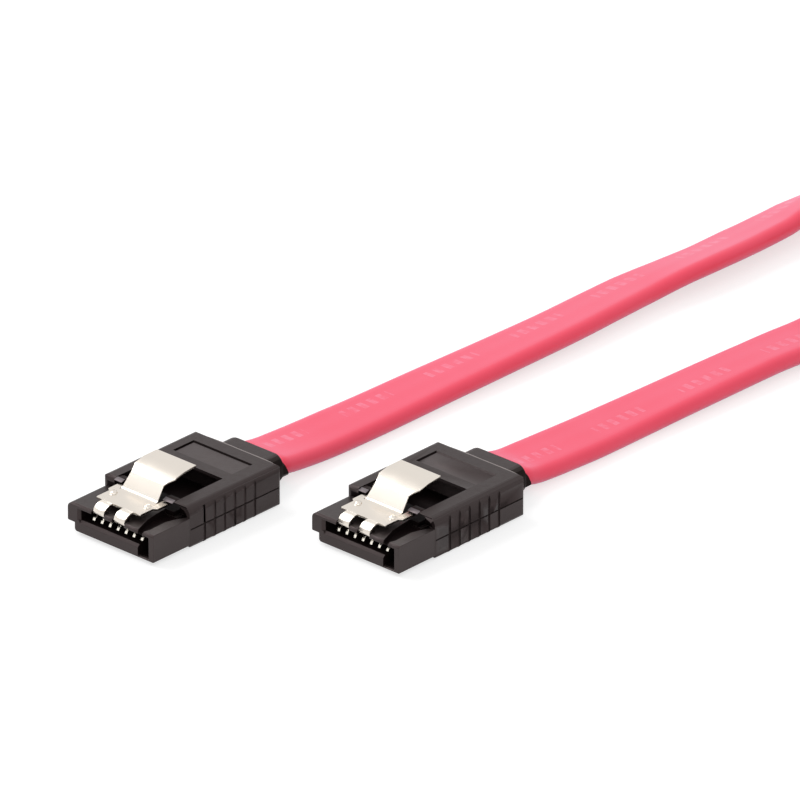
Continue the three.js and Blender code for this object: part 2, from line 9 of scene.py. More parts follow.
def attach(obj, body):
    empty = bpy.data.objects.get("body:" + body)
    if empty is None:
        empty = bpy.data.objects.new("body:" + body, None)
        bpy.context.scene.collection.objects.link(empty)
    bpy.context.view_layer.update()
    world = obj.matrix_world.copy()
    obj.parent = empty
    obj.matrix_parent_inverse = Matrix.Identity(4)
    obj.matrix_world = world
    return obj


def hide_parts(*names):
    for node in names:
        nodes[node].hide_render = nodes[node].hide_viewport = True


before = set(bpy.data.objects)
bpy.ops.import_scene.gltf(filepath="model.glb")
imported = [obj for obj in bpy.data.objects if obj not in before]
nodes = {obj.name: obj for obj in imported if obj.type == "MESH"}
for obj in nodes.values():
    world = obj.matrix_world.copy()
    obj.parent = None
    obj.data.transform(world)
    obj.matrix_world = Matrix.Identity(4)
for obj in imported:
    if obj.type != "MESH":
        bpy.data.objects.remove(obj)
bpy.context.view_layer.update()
scene = bpy.context.scene
mm = 0.001
print("frame loaded:", len(nodes), "nodes")

# Where each plug's own frame, at its mating face, lies in the part
plugs = {
    "a": {"x": -11.29, "y": -21.725},
    "b": {"x": 11.29, "y": -4.675},
}


def plugPlace(plug):
    return Vector((plugs[plug]["x"], plugs[plug]["y"], 0.0)) * mm


def meshData(name, mesh):
    data = bpy.data.meshes.new(name)
    mesh.to_mesh(data)
    mesh.free()
    return data


def placeObject(name, data, at=(0.0, 0.0, 0.0)):
    obj = bpy.data.objects.new(name, data)
    obj.location = at
    scene.collection.objects.link(obj)
    return obj


camera = {"azimuth": 42.593, "elevation": 26.021, "distance": 1500.0, "fov": 3.597,
          "targetX": -1.697, "targetY": 51.249}  # target from the first plug's mating face


def makeCamera(spec):
    a = math.radians(spec["azimuth"])
    e = math.radians(spec["elevation"])
    back = Vector((math.sin(a) * math.cos(e), -math.cos(a) * math.cos(e), math.sin(e)))
    target = Vector((plugs["a"]["x"] + spec["targetX"], plugs["a"]["y"] + spec["targetY"], 0.0)) * mm
    data = bpy.data.cameras.new("camera")
    obj = placeObject("camera", data, target + back * spec["distance"] * mm)
    obj.rotation_euler = (-back).to_track_quat("-Z", "Y").to_euler()
    data.sensor_fit = "HORIZONTAL"
    data.lens_unit = "FOV"
    data.angle = math.radians(spec["fov"])
    data.clip_start = 0.01
    data.clip_end = 50
    scene.camera = obj


makeCamera(camera)
print("camera placed")

cable = {
    "width": 8.0, "thickness": 2.2, "exitHeight": 2.1, "length": 0.298,
    "loopRadius": 21.0, "loopHeadStart": 122.0,
    "swingSteps": 3, "loopSteps": 18,
    "rollIntoLoop": 34, "rollOutOfLoop": 62,
    "stepMm": 1.0, "around": 44,
    "samples": 1501,          # points along the route that measure its length
    "tangentReach": 1e-4,
    "uvSpan": 100.0,          # mm of jacket in one UV unit
    "wireBulge": 0.02,        # how far the two wire pairs lift the flat faces
    "insideCollar": 1.7,      # how far the jacket runs into the collar
    "lift": 0.07,             # keeps its bends clear of the table
    # x, y, rise over a cable that lies on the table, roll of the right edge in degrees
    "runA": [(-.2, 25.75, 1, 0), (-.18, 28, .62, 0), (-.16, 31, .3, -1.2), (-.1, 34.5, .08, -2),
             (-.03, 38.5, 0, -2), (.06, 44, 0, -.5), (.29, 54, 0, 1.9), (.74, 66, 0, 5.1), (.98, 76, 0, 7.1),
             (.87, 84, 0, 8.5), (.83, 90, 0, 9.5), (1.3, 96, 0, 14.1), (1.72, 102, 0, 15.8),
             (1.71, 108, 0, 15.1), (1.72, 114, 0, 17), (1.5, 119, 0, 24)],
    "runB": [(-.2, 25.75, 1, 0), (-.12, 28, .45, 0), (.08, 31, .25, -1.5), (.22, 34.5, .14, -1.7),
             (.38, 38.5, .06, -1.6), (.43, 45, 0, .4), (.79, 53, 0, 2.8), (1.08, 61, 0, 4),
             (1.46, 69, 0, 5.6), (1.65, 73, 0, 4.4), (2.1, 80, 0, 1), (2.4, 88, 0, -16), (2.5, 97, 0, -40)],
}


def restHeight(roll):
    across = (cable["width"] - cable["thickness"]) * abs(math.sin(roll))
    return (across + cable["thickness"]) / 2 + cable["lift"]


def cableRoute():
    ax, ay = plugs["a"]["x"], plugs["a"]["y"]
    bx, by = plugs["b"]["x"], plugs["b"]["y"]
    exitRise = cable["exitHeight"] - restHeight(0)
    route = []
    for x, y, rise, deg in cable["runA"]:
        r = math.radians(deg)
        route.append((x + ax, y + ay, rise * exitRise + restHeight(r), r))
    leftX = route[-1][0]
    rightX = cable["runB"][-1][0] + bx
    midX = (leftX + rightX) / 2
    radius = cable["loopRadius"]
    headY = cable["loopHeadStart"] + ay
    swing = math.acos(((rightX - leftX) / 2 + radius) / (2 * radius))
    centreY = headY + 2 * radius * math.sin(swing)
    swingSteps, loopSteps = cable["swingSteps"], cable["loopSteps"]
    for i in range(swingSteps):
        t = swing * i / swingSteps
        r = math.radians(cable["rollIntoLoop"] + (90 - cable["rollIntoLoop"]) * i / swingSteps)
        route.append((leftX - radius * (1 - math.cos(t)), headY + radius * math.sin(t), restHeight(r), r))
    for i in range(loopSteps + 1):
        t = math.pi + swing - (math.pi + 2 * swing) * i / loopSteps
        r = math.pi / 2
        route.append((midX + radius * math.cos(t), centreY + radius * math.sin(t), restHeight(r), r))
    for i in reversed(range(swingSteps)):
        t = swing * i / swingSteps
        r = math.radians(cable["rollOutOfLoop"] + (90 - cable["rollOutOfLoop"]) * i / swingSteps)
        route.append((rightX + radius * (1 - math.cos(t)), headY + radius * math.sin(t), restHeight(r), r))
    for x, y, rise, deg in reversed(cable["runB"]):
        r = math.radians(deg)
        route.append((x + bx, y + by, rise * exitRise + restHeight(r), -r))
    return np.array(route)


def curvePoint(pts, u):
    # Smooth curve through the points, the same one that the solids follow
    last = len(pts) - 1
    at = min(max(u, 0.0) * last, last - 1e-9)
    i = int(at)
    t = at - i
    p1, p2 = pts[i], pts[i + 1]
    p0 = pts[i - 1] if i > 0 else 2 * p1 - p2
    p3 = pts[i + 2] if i + 2 <= last else 2 * p2 - p1
    d0, d1, d2 = (max(np.dot(b - a, b - a) ** 0.25, 1e-4) for a, b in ((p0, p1), (p1, p2), (p2, p3)))
    m1 = ((p1 - p0) / d0 - (p2 - p0) / (d0 + d1) + (p2 - p1) / d1) * d1
    m2 = ((p2 - p1) / d1 - (p3 - p1) / (d1 + d2) + (p3 - p2) / d2) * d1
    a = 2 * p1 - 2 * p2 + m1 + m2
    b = -3 * p1 + 3 * p2 - 2 * m1 - m2
    return p1 + m1 * t + b * t * t + a * t ** 3


def jacketSection():
    # Rounded edges, and flat faces that the two wire pairs lift a little
    half, edge = cable["width"] / 2, cable["thickness"] / 2
    flat = half - edge
    out = []
    n = cable["around"] // 4
    for side in (1, -1):
        for i in range(n):
            t = -math.pi / 2 + math.pi * i / n
            out.append((side * (flat + edge * math.cos(t)), side * edge * math.sin(t)))
        for i in range(n):
            x = flat - 2 * flat * i / n
            lift = cable["wireBulge"] * (math.cos(2 * math.pi * x / flat) - 1) / 2
            out.append((side * x, side * (edge + lift)))
    return out


def makeCable():
    route = cableRoute()
    pts, rolls = route[:, :3], route[:, 3]
    shares = np.linspace(0, 1, cable["samples"])
    fine = np.array([curvePoint(pts, u) for u in shares])
    runLength = np.concatenate([[0], np.cumsum(np.linalg.norm(np.diff(fine, axis=0), axis=1))])
    steps = int(runLength[-1] / cable["stepMm"])
    stops = np.interp(np.linspace(0, runLength[-1], steps + 1), runLength, shares)
    section = jacketSection()
    count = len(section)
    uvSpan = cable["uvSpan"]
    mesh = bmesh.new()
    uvLayer = mesh.loops.layers.uv.new("UVMap")
    rings, centres, along = [], [], []
    knots = np.linspace(0, 1, len(pts))
    for k, u in enumerate(stops):
        c = curvePoint(pts, u)
        reach = cable["tangentReach"]
        ahead = curvePoint(pts, min(u + reach, 1)) - curvePoint(pts, max(u - reach, 0))
        tangent = ahead / np.linalg.norm(ahead)
        if k in (0, steps):  # the jacket starts inside the collar
            c = c + tangent * cable["insideCollar"] * (-1 if k == 0 else 1)
        side = np.cross(tangent, (0, 0, 1))
        side /= np.linalg.norm(side)
        up = np.cross(side, tangent)
        roll = np.interp(u, knots, rolls)
        across = side * math.cos(roll) + up * math.sin(roll)
        normal = up * math.cos(roll) - side * math.sin(roll)
        rings.append([mesh.verts.new((c + across * x + normal * y) * mm) for x, y in section])
        centres.append(c * mm)
        along.append(k * cable["stepMm"])
    perimeter = [0.0]
    for j in range(count):
        a, b = section[j], section[(j + 1) % count]
        perimeter.append(perimeter[-1] + math.hypot(b[0] - a[0], b[1] - a[1]))
    for k in range(len(rings) - 1):
        for j in range(count):
            face = mesh.faces.new((rings[k][j], rings[k][(j + 1) % count],
                                   rings[k + 1][(j + 1) % count], rings[k + 1][j]))
            face.smooth = True
            for loop, (kk, jj) in zip(face.loops, ((k, j), (k, j + 1), (k + 1, j + 1), (k + 1, j))):
                loop[uvLayer].uv = (along[kk] / uvSpan, perimeter[jj] / uvSpan)
    for ring in (rings[0], list(reversed(rings[-1]))):
        mesh.faces.new(list(reversed(ring)))
    bmesh.ops.recalc_face_normals(mesh, faces=mesh.faces[:])
    obj = placeObject("cableJacket", meshData("cableJacket", mesh))
    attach(obj, "cable_and_plugs")
    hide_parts("cable_run_a", "cable_loop", "cable_run_b")
    print("cable length", round(runLength[-1], 1), "mm")
    return obj


cableJacket = makeCable()
print("cable made")


def newMaterial(name):
    mat = bpy.data.materials.new(name)
    mat.use_nodes = True
    return mat, mat.node_tree, mat.node_tree.nodes["Principled BSDF"]


def newGroup(name, inputs, outputs):
    group = bpy.data.node_groups.new(name, "ShaderNodeTree")
    for label, kind, value in inputs:
        socket = group.interface.new_socket(label, in_out="INPUT", socket_type=kind)
        if value is not None:
            socket.default_value = value
    for label, kind in outputs:
        group.interface.new_socket(label, in_out="OUTPUT", socket_type=kind)
    return group, group.nodes.new("NodeGroupInput"), group.nodes.new("NodeGroupOutput")


def mathNode(tree, operation, a, b=None, clamp=False):
    node = tree.nodes.new("ShaderNodeMath")
    node.operation = operation
    node.use_clamp = clamp
    for socket, value in zip(node.inputs, (a, b)):
        if isinstance(value, (int, float)):
            socket.default_value = value
        elif value is not None:
            tree.links.new(value, socket)
    return node.outputs[0]


def noiseNode(tree, vector, scale, detail=2.0):
    node = tree.nodes.new("ShaderNodeTexNoise")
    node.inputs["Scale"].default_value = scale
    node.inputs["Detail"].default_value = detail
    tree.links.new(vector, node.inputs["Vector"])
    return node


def setOrLink(tree, socket, value):
    if isinstance(value, tuple):
        socket.default_value = (*value, 1)
    else:
        tree.links.new(value, socket)


def mixColors(tree, factor, a, b):
    node = tree.nodes.new("ShaderNodeMix")
    node.data_type = "RGBA"
    tree.links.new(factor, node.inputs["Factor"])
    setOrLink(tree, node.inputs["A"], a)
    setOrLink(tree, node.inputs["B"], b)
    return node.outputs["Result"]


def scaledColor(tree, color, factor):
    node = tree.nodes.new("ShaderNodeVectorMath")
    node.operation = "SCALE"
    tree.links.new(color, node.inputs[0])
    tree.links.new(factor, node.inputs["Scale"])
    return node.outputs[0]


def aboutHalf(tree, value, amount):
    # A noise about one half, brought to swing about nought
    return mathNode(tree, "MULTIPLY", mathNode(tree, "SUBTRACT", value, 0.5), amount)


grain = {"fine": 5200, "tone": 1500, "slow": 210, "toneShare": 0.6, "contrast": 4.0, "roughSwing": 0.25,
         "speckScale": 620, "speckSize": 0.045, "speckPatches": 400, "speckCut": 0.6,
         "speckColor": (0.45, 0.43, 0.40)}


def makeGrainGroup(spec):
    # Fine moulded grain, slow unevenness of tone, and a few pale dust specks
    group, gin, gout = newGroup("mouldedGrain", [
        ("Scale", "NodeSocketFloat", 1.0), ("Base Color", "NodeSocketColor", (0.05, 0.045, 0.045, 1)),
        ("Mottle", "NodeSocketFloat", 0.15), ("Dust", "NodeSocketFloat", 0.4),
        ("Roughness", "NodeSocketFloat", 0.5)],
        [("Color", "NodeSocketColor"), ("Roughness", "NodeSocketFloat"), ("Height", "NodeSocketFloat")])
    coords = group.nodes.new("ShaderNodeTexCoord")
    link = group.links.new

    def noise(scale, detail):
        node = noiseNode(group, coords.outputs["Object"], scale, detail)
        link(mathNode(group, "MULTIPLY", gin.outputs["Scale"], scale), node.inputs["Scale"])
        return node.outputs["Fac"]

    fine, tone, slow = noise(spec["fine"], 3), noise(spec["tone"], 4), noise(spec["slow"], 2)
    mixed = mathNode(group, "ADD", mathNode(group, "MULTIPLY", tone, spec["toneShare"]),
                     mathNode(group, "MULTIPLY", slow, 1 - spec["toneShare"]))
    shift = aboutHalf(group, mixed, gin.outputs["Mottle"])
    factor = mathNode(group, "ADD", mathNode(group, "MULTIPLY", shift, spec["contrast"]), 1.0)
    specks = group.nodes.new("ShaderNodeTexVoronoi")
    specks.inputs["Scale"].default_value = spec["speckScale"]
    link(coords.outputs["Object"], specks.inputs["Vector"])
    near = mathNode(group, "LESS_THAN", specks.outputs["Distance"], spec["speckSize"])
    few = mathNode(group, "GREATER_THAN", noise(spec["speckPatches"], 0), spec["speckCut"])
    dust = mathNode(group, "MULTIPLY", mathNode(group, "MULTIPLY", near, few), gin.outputs["Dust"])
    tinted = scaledColor(group, gin.outputs["Base Color"], factor)
    link(mixColors(group, dust, tinted, spec["speckColor"]), gout.inputs["Color"])
    rough = mathNode(group, "ADD", gin.outputs["Roughness"], aboutHalf(group, tone, spec["roughSwing"]))
    link(rough, gout.inputs["Roughness"])
    link(fine, gout.inputs["Height"])
    return group


rolled = {"squeeze": 0.03, "smearScale": 380, "smearSwing": 0.12, "lineSwing": 0.05,
          "darkest": 0.98, "lineTone": 0.04}


def makeBrushGroup(spec):
    # Rolled sheet: fine lines along one axis, faint finger smears
    group, gin, gout = newGroup("rolledSheet", [
        ("Lines", "NodeSocketFloat", 9000.0), ("Roughness", "NodeSocketFloat", 0.3),
        ("Base Color", "NodeSocketColor", (0.8, 0.78, 0.75, 1))],
        [("Color", "NodeSocketColor"), ("Roughness", "NodeSocketFloat"), ("Height", "NodeSocketFloat")])
    link = group.links.new
    coords = group.nodes.new("ShaderNodeTexCoord")
    squeeze = group.nodes.new("ShaderNodeMapping")
    squeeze.inputs["Scale"].default_value = (1.0, spec["squeeze"], spec["squeeze"])
    link(coords.outputs["Object"], squeeze.inputs["Vector"])
    lineNoise = noiseNode(group, squeeze.outputs[0], 1.0, 3)
    link(gin.outputs["Lines"], lineNoise.inputs["Scale"])
    lines = lineNoise.outputs["Fac"]
    smear = noiseNode(group, coords.outputs["Object"], spec["smearScale"], 3).outputs["Fac"]
    rough = mathNode(group, "ADD", gin.outputs["Roughness"], aboutHalf(group, smear, spec["smearSwing"]))
    rough = mathNode(group, "ADD", rough, aboutHalf(group, lines, spec["lineSwing"]))
    tone = mathNode(group, "ADD", spec["darkest"], mathNode(group, "MULTIPLY", lines, spec["lineTone"]))
    link(scaledColor(group, gin.outputs["Base Color"], tone), gout.inputs["Color"])
    link(rough, gout.inputs["Roughness"])
    link(lines, gout.inputs["Height"])
    return group


grainGroup = makeGrainGroup(grain)
brushGroup = makeBrushGroup(rolled)


def placeGroup(tree, group, values):
    node = tree.nodes.new("ShaderNodeGroup")
    node.node_tree = group
    for key, value in values.items():
        node.inputs[key].default_value = value
    return node


def addBump(tree, shader, height, strength, distance):
    bump = tree.nodes.new("ShaderNodeBump")
    bump.inputs["Strength"].default_value = strength
    bump.inputs["Distance"].default_value = distance
    tree.links.new(height, bump.inputs["Height"])
    tree.links.new(bump.outputs["Normal"], shader.inputs["Normal"])


def grainyPlastic(name, spec):
    mat, tree, shader = newMaterial(name)
    surface = placeGroup(tree, grainGroup, {
        "Base Color": (*spec["color"], 1), "Roughness": spec["roughness"], "Mottle": spec["mottle"],
        "Dust": spec["dust"], "Scale": spec["grainScale"]})
    tree.links.new(surface.outputs["Color"], shader.inputs["Base Color"])
    tree.links.new(surface.outputs["Roughness"], shader.inputs["Roughness"])
    shader.inputs["Specular IOR Level"].default_value = spec["specular"]
    shader.inputs["Specular Tint"].default_value = (*spec["tint"], 1)
    addBump(tree, shader, surface.outputs["Height"], spec["bump"], 0.04 * mm)
    return mat


def sheetMetal(name, spec):
    mat, tree, shader = newMaterial(name)
    brush = placeGroup(tree, brushGroup, {
        "Base Color": (*spec["color"], 1), "Roughness": spec["roughness"], "Lines": spec["lines"]})
    tree.links.new(brush.outputs["Color"], shader.inputs["Base Color"])
    tree.links.new(brush.outputs["Roughness"], shader.inputs["Roughness"])
    shader.inputs["Metallic"].default_value = 1.0
    addBump(tree, shader, brush.outputs["Height"], spec["bump"], 0.02 * mm)
    return mat


mouldedBody = {"color": (0.026, 0.0195, 0.019), "roughness": 0.44, "mottle": 0.2, "dust": 0.8,
               "grainScale": 1.0, "specular": 0.34, "tint": (1.0, 0.78, 0.78), "bump": 0.35,
               "edgeRadius": 0.09, "grooveFloor": 6.84, "softerFloor": 6.90}
namePanel = dict(mouldedBody, roughness=0.38, specular=0.55, mottle=0.25)
frontBlock = {"color": (0.016, 0.012, 0.0115), "roughness": 0.36, "mottle": 0.14, "dust": 0.3,
              "grainScale": 1.3, "specular": 0.46, "tint": (1.0, 0.78, 0.78), "bump": 0.2,
              "edgeRadius": 0.05}
# Painted shade: a near-black, barely reflective finish for the inner walls of the pocket, recess, trough and
# slot, where shade falls
innerShade = dict(frontBlock, color=(0.006, 0.0035, 0.0035), roughness=0.6, specular=0.07, dust=0.0)
# Painted shade on the collar's right side: darker and less shiny, deepest on faces turned fully right
collarPaintedShade = dict(mouldedBody, color=(0.018, 0.014, 0.012), specular=0.16)
collarPaintedDeepShade = dict(mouldedBody, color=(0.010, 0.007, 0.006), specular=0.07)
# Painted highlight on the hooks' slanted fronts, painted shade on their tops
hookPaintedHighlight = dict(mouldedBody, color=(0.11, 0.10, 0.108), roughness=0.34, specular=0.7, dust=0.0)
hookPaintedShade = dict(mouldedBody, color=(0.016, 0.009, 0.009), specular=0.10, dust=0.0)
pressLatch = {"color": (0.75, 0.69, 0.62), "roughness": 0.24, "lines": 9000.0, "bump": 0.03,
              "edgeRadius": 0.05}
contactBlade = {"count": 7, "color": (0.95, 0.90, 0.80), "roughness": 0.26, "lines": 14000.0,
                "bump": 0.08, "edgeRadius": 0.03}


def makePrism(name, outline, axis, low, high):
    # An outline drawn across one axis and carried along it, in a plug's own frame
    place = {"x": lambda u, v, w: (w, u, v), "y": lambda u, v, w: (u, w, v), "z": lambda u, v, w: (u, v, w)}
    mesh = bmesh.new()
    ends = [[mesh.verts.new(Vector(place[axis](u, v, w)) * mm) for u, v in outline] for w in (low, high)]
    mesh.faces.new(ends[0])
    mesh.faces.new(list(reversed(ends[1])))
    for i in range(len(outline)):
        j = (i + 1) % len(outline)
        mesh.faces.new((ends[0][j], ends[0][i], ends[1][i], ends[1][j]))
    bmesh.ops.recalc_face_normals(mesh, faces=mesh.faces[:])
    return meshData(name, mesh)


def cornerTool(corner, inward, radius, steps=8, margin=0.02):
    # What a rounding takes off a square corner
    (cx, cy), (sx, sy), m = corner, inward, margin
    arc = [math.pi / 2 * i / steps for i in range(steps + 1)]
    rounding = [(cx + sx * radius * (1 - math.sin(t)), cy + sy * radius * (1 - math.cos(t))) for t in arc]
    return [(cx - sx * m, cy - sy * m), (cx + sx * radius, cy - sy * m), *rounding,
            (cx - sx * m, cy + sy * radius)]


bodyShape = {"half": 7.0, "front": 6.1, "rear": 21.6, "top": 5.2, "past": 0.1,
             "pocketLeft": -4.97, "pocketRight": 4.46, "hookFloor": 4.8, "hookRear": 7.55}


def boxOutline(left, low, right, high):
    return [(left, low), (right, low), (right, high), (left, high)]


def makeBodyTools(spec):
    # Moulding details finer than the solid: fuller corners, a recess up to the rim, room for the hooks
    half, front, rear, top = spec["half"], spec["front"], spec["rear"], spec["top"]
    left, right, floor = spec["pocketLeft"], spec["pocketRight"], spec["hookFloor"]
    past, hookRear = spec["past"], spec["hookRear"]
    under, over, outside = -past, top + past, half + past
    recess = [(4.42, 3.3), (5.86, 3.3), (5.86, 4.4), (5.72, 4.75), (5.45, 4.98), (5.1, 5.07),
              (4.42, 5.07)]
    return {
        "rearLeftCorner": (cornerTool((-half, rear), (1, -1), 1.3), "z", under, over),
        "frontLeftCorner": (cornerTool((-half, front), (1, 1), 0.9), "z", under, over),
        "frontLeftTop": (cornerTool((front, top), (1, -1), 0.7), "x", -outside, left),
        "rearFoot": (cornerTool((rear, 0.0), (-1, 1), 0.8), "x", -outside, outside),
        "recess": (recess, "y", front - past, 7.2),
        "leftHook": (boxOutline(left, floor, -3.5, over), "y", front - past, hookRear),
        "rightHook": (boxOutline(3.0, floor, right, over), "y", front - past, hookRear),
    }


def applyModifiers(obj):
    bpy.context.view_layer.update()
    graph = bpy.context.evaluated_depsgraph_get()
    final = bpy.data.meshes.new_from_object(obj.evaluated_get(graph))
    obj.modifiers.clear()
    obj.data = final
    return final


# Lengths in mm and angles in degrees
easing = {"weld": 0.002, "flatter": 0.6, "bevelFrom": 32, "segments": 2, "sharpFrom": 40,
          "flatWeight": 100, "sameLevel": 0.002, "grooveTop": 4.6}


def softEdgedCopy(source, pieceName, spec, plug, body, finishes, tools=None, choose=None):
    # The solid with its edges eased, as moulding and stamping leave them; it stands in its plug's own frame
    mesh = bmesh.new()
    mesh.from_mesh(source)
    shift = plugPlace(plug)
    bmesh.ops.translate(mesh, verts=mesh.verts[:], vec=-shift)
    bmesh.ops.remove_doubles(mesh, verts=mesh.verts[:], dist=easing["weld"] * mm)
    bmesh.ops.dissolve_limit(mesh, angle_limit=math.radians(easing["flatter"]), verts=mesh.verts[:],
                             edges=mesh.edges[:])
    for vert in mesh.verts if "grooveFloor" in spec else ():
        away = abs(abs(vert.co.x / mm) - spec["grooveFloor"])
        if away < easing["sameLevel"] and vert.co.z < easing["grooveTop"] * mm:
            vert.co.x = math.copysign(spec["softerFloor"] * mm, vert.co.x)
    data = meshData(pieceName, mesh)
    data.materials.clear()
    for name in finishes:
        data.materials.append(materials[name])
    obj = placeObject(pieceName, data)
    cutters = []
    for name, (outline, axis, low, high) in (tools or {}).items():
        cutter = placeObject(name, makePrism(name, outline, axis, low, high))
        cutters.append(cutter)
        cut = obj.modifiers.new(name, "BOOLEAN")
        cut.operation = "DIFFERENCE"
        cut.solver = "EXACT"
        cut.object = cutter
    ease = obj.modifiers.new("ease", "BEVEL")
    ease.width = spec["edgeRadius"] * mm
    ease.segments = easing["segments"]
    ease.limit_method = "ANGLE"
    ease.angle_limit = math.radians(easing["bevelFrom"])
    ease.use_clamp_overlap = True
    ease.harden_normals = False
    final = applyModifiers(obj)
    for cutter in cutters:
        bpy.data.objects.remove(cutter)
    for face in final.polygons:
        face.use_smooth = True
        face.material_index = finishes.index(choose(face.center / mm, face.normal)) if choose else 0
    final.set_sharp_from_angle(angle=math.radians(easing["sharpFrom"]))
    level = obj.modifiers.new("flatFacesLead", "WEIGHTED_NORMAL")
    level.keep_sharp = True
    level.weight = easing["flatWeight"]
    applyModifiers(obj).name = pieceName
    obj.location = shift
    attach(obj, body)
    return obj


# Where a moulding changes its finish or carries painted shade: low and high x, y and z
zones = {
    "pocket": ((-4.98, 4.48), (6.0, 14.4), (-1.0, 5.14)),
    "recess": ((4.4, 6.1), (6.12, 7.3), (3.0, 5.12)),
    "panel": ((-7.0, 7.0), (6.0, 20.0), (5.04, 5.08)),
    "collarRight": ((2.0, 7.5), (21.55, 30.0), (-1.0, 6.0)),
    "blockInside": ((-6.2, 6.2), (0.36, 6.08), (0.5, 3.87)),
}
facing = {"up": 0.99, "fullRight": 0.75, "partlyRight": 0.3}  # least share of a face's normal


def inZone(at, name):
    return all(low < value < high for value, (low, high) in zip(at, zones[name]))


def bodyFinish(at, normal):
    # Painted shade in the pocket and the recess
    if inZone(at, "pocket") or inZone(at, "recess"):
        return "innerShade"
    if inZone(at, "panel") and normal.z > facing["up"]:
        return "namePanel"
    # Painted shade down the collar's right side
    if inZone(at, "collarRight") and normal.x > facing["fullRight"]:
        return "collarPaintedDeepShade"
    if inZone(at, "collarRight") and normal.x > facing["partlyRight"]:
        return "collarPaintedShade"
    return "mouldedBody"


def blockFinish(at, normal):
    # Painted shade inside the slot and the trough
    return "innerShade" if inZone(at, "blockInside") else "frontBlock"


materials = {name: grainyPlastic(name, spec) for name, spec in (
    ("mouldedBody", mouldedBody), ("namePanel", namePanel), ("frontBlock", frontBlock),
    ("innerShade", innerShade), ("collarPaintedShade", collarPaintedShade), ("collarPaintedDeepShade", collarPaintedDeepShade),
    ("hookPaintedHighlight", hookPaintedHighlight), ("hookPaintedShade", hookPaintedShade))}
materials["springSteel"] = sheetMetal("springSteel", pressLatch)
materials["contactPlating"] = sheetMetal("contactPlating", contactBlade)
bodyFinishes = ["mouldedBody", "innerShade", "namePanel", "collarPaintedShade", "collarPaintedDeepShade"]

# Side view of a hook: a slanted front over the latch's ear, and a top that falls a little to the rear
pocketHook = {"side": [(6.04, 4.88), (7.5, 4.88), (7.5, 5.06), (6.64, 5.15), (6.04, 4.95)],
              "left": (-4.99, -3.78), "right": (2.72, 4.27), "edgeRadius": 0.04,
              "slantRear": 6.66, "slantUp": 0.7, "slantForward": -0.1}


# Painted highlight on a hook's slanted front, painted shade on the rest of it
def hookFinish(at, normal):
    slanted = normal.z > pocketHook["slantUp"] and normal.y < pocketHook["slantForward"]
    return "hookPaintedHighlight" if slanted and at.y < pocketHook["slantRear"] else "hookPaintedShade"


def makeHooks(plug):
    for side in ("left", "right"):
        low, high = pocketHook[side]
        data = makePrism("pocketHook", pocketHook["side"], "x", low, high)
        data.transform(Matrix.Translation(plugPlace(plug)))
        softEdgedCopy(data, "pocketHook_%s_%s" % (side, plug), pocketHook, plug, "cable_and_plugs",
                      ["hookPaintedHighlight", "hookPaintedShade"], choose=hookFinish)


# Thin bead of flash round the moulding's rear end, from near its left corner to the parting line; its pale
# colour is a painted highlight along the edge
flashBeadHighlight = {"radius": 0.085, "sides": 6, "tipShare": 0.35, "uneven": 0.2, "color": (0.30, 0.27, 0.26),
             "path": [(-4.6, 21.36, 5.06), (-2.0, 21.38, 5.08), (1.0, 21.39, 5.07), (3.6, 21.38, 5.08),
                      (5.3, 21.38, 5.07), (5.9, 21.37, 4.98), (6.3, 21.36, 4.78), (6.58, 21.36, 4.45),
                      (6.74, 21.36, 4.05), (6.8, 21.36, 3.5), (6.8, 21.36, 2.5)]}


def makeFlashBead(plug, material):
    path = [Vector(p) for p in flashBeadHighlight["path"]]
    mesh = bmesh.new()
    rings = []
    for i, p in enumerate(path):
        along = (path[min(i + 1, len(path) - 1)] - path[max(i - 1, 0)]).normalized()
        side = along.cross(Vector((0, 1, 0))).normalized()
        up = side.cross(along)
        thick = 1 - flashBeadHighlight["uneven"] * ((i + 1) % 2)
        r = flashBeadHighlight["radius"] * (flashBeadHighlight["tipShare"] if i in (0, len(path) - 1) else thick)
        turns = [2 * math.pi * k / flashBeadHighlight["sides"] for k in range(flashBeadHighlight["sides"])]
        ring = [p + side * r * math.cos(t) + up * r * math.sin(t) for t in turns]
        rings.append([mesh.verts.new(point * mm) for point in ring])
    for low, high in zip(rings, rings[1:]):
        for k in range(len(low)):
            j = (k + 1) % len(low)
            mesh.faces.new((low[k], low[j], high[j], high[k])).smooth = True
    mesh.faces.new(rings[0])
    mesh.faces.new(list(reversed(rings[-1])))
    bmesh.ops.recalc_face_normals(mesh, faces=mesh.faces[:])
    data = meshData("flashBeadHighlight_" + plug, mesh)
    data.materials.append(material)
    obj = placeObject("flashBeadHighlight_" + plug, data, plugPlace(plug))
    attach(obj, "cable_and_plugs")


# Pale grey: a painted highlight along the rear edge
flashHighlightMaterial = grainyPlastic("flashBeadHighlight", dict(mouldedBody, color=flashBeadHighlight["color"], dust=0.0))
for plug in ("a", "b"):
    moulded = softEdgedCopy(nodes["overmould_" + plug].data, "mouldedBody_" + plug, mouldedBody, plug,
                            "cable_and_plugs", bodyFinishes, makeBodyTools(bodyShape),
                            bodyFinish)
    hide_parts("overmould_" + plug)
    makeHooks(plug)
    makeFlashBead(plug, flashHighlightMaterial)
    block = softEdgedCopy(nodes["plug_housing_" + plug].data, "frontBlock_" + plug, frontBlock, plug,
                          "cable_and_plugs", ["frontBlock", "innerShade"],
                          choose=blockFinish)
    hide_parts("plug_housing_" + plug)
    latch = softEdgedCopy(nodes["latch_" + plug].data, "pressLatch_" + plug, pressLatch, plug,
                          "latch_" + plug, ["springSteel"])
    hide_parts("latch_" + plug)
    for number in range(1, contactBlade["count"] + 1):
        blade = softEdgedCopy(nodes["contact_%d_%s" % (number, plug)].data,
                              "contactBlade_%d_%s" % (number, plug), contactBlade, plug,
                              "cable_and_plugs", ["contactPlating"])
        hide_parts("contact_%d_%s" % (number, plug))
